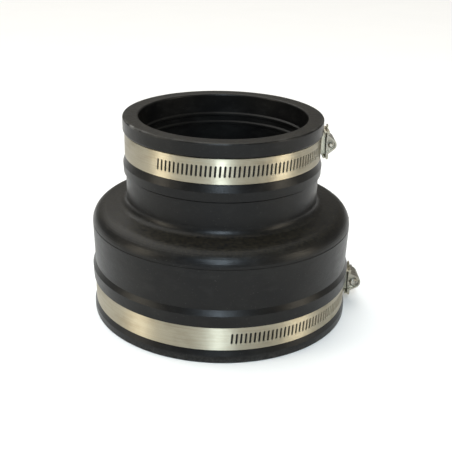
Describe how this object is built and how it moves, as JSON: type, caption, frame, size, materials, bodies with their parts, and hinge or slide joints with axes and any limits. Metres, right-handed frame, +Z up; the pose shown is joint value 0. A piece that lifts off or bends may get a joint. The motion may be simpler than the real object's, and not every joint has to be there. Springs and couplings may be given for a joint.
{
  "type": "pipe coupling",
  "caption": "Black rubber reducing pipe coupling: a stepped sleeve with a wide and a narrow socket, each drawn tight by a slotted steel worm-drive band clamp.",
  "frame": {"origin": "on the pipe axis, in the plane of the wide mouth's rim, which the coupling stands on", "axes": "+Z up along the pipe axis towards the narrow mouth; +X towards the side that the screw housings are on; -Y towards the side the picture shows"},
  "size_m": [0.1886, 0.178, 0.136],
  "materials": {
    "sleeve_rubber": "matte moulded black rubber",
    "band_steel": "satin stainless strip",
    "housing_steel": "pressed stainless, dull",
    "screw_steel": "turned and plated steel"
  },
  "bodies": {
    "sleeve": {"sleeve": "sleeve_rubber"},
    "small_clamp": {"small_band": "band_steel", "small_saddle": "band_steel", "small_housing": "housing_steel"},
    "small_screw": {"small_screw": "screw_steel"},
    "small_band_tail": {"small_band_tail": "band_steel"},
    "large_clamp": {"large_band": "band_steel", "large_saddle": "band_steel", "large_housing": "housing_steel"},
    "large_screw": {"large_screw": "screw_steel"},
    "large_band_tail": {"large_band_tail": "band_steel"}
  },
  "joints": [
    {"name": "small_clamp_turn", "type": "hinge", "parent": "sleeve", "child": "small_clamp", "pos_m": [0, 0, 0.11807], "axis": [0, 0, 1], "continuous": true},
    {"name": "small_screw_turn", "type": "hinge", "parent": "small_clamp", "child": "small_screw", "pos_m": [0.07124, 0.00249, 0.11807], "axis": [-0.0349, 0.9994, 0], "range_deg": [0, 1080]},
    {"name": "small_tail_feed", "type": "hinge", "parent": "small_clamp", "child": "small_band_tail", "pos_m": [0, 0, 0.11807], "axis": [0, 0, 1], "range_deg": [0, 7.43]},
    {"name": "large_clamp_turn", "type": "hinge", "parent": "sleeve", "child": "large_clamp", "pos_m": [0, 0, 0.01698], "axis": [0, 0, 1], "continuous": true},
    {"name": "large_screw_turn", "type": "hinge", "parent": "large_clamp", "child": "large_screw", "pos_m": [0.09447, 0.0033, 0.01698], "axis": [-0.0349, 0.9994, 0], "range_deg": [0, 1080]},
    {"name": "large_tail_feed", "type": "hinge", "parent": "large_clamp", "child": "large_band_tail", "pos_m": [0, 0, 0.01698], "axis": [0, 0, 1], "range_deg": [0, 5.61]}
  ],
  "couplings": [
    {"joint": "small_tail_feed", "follows": "small_screw_turn", "ratio": 0.0068373},
    {"joint": "large_tail_feed", "follows": "large_screw_turn", "ratio": 0.0051511}
  ]
}
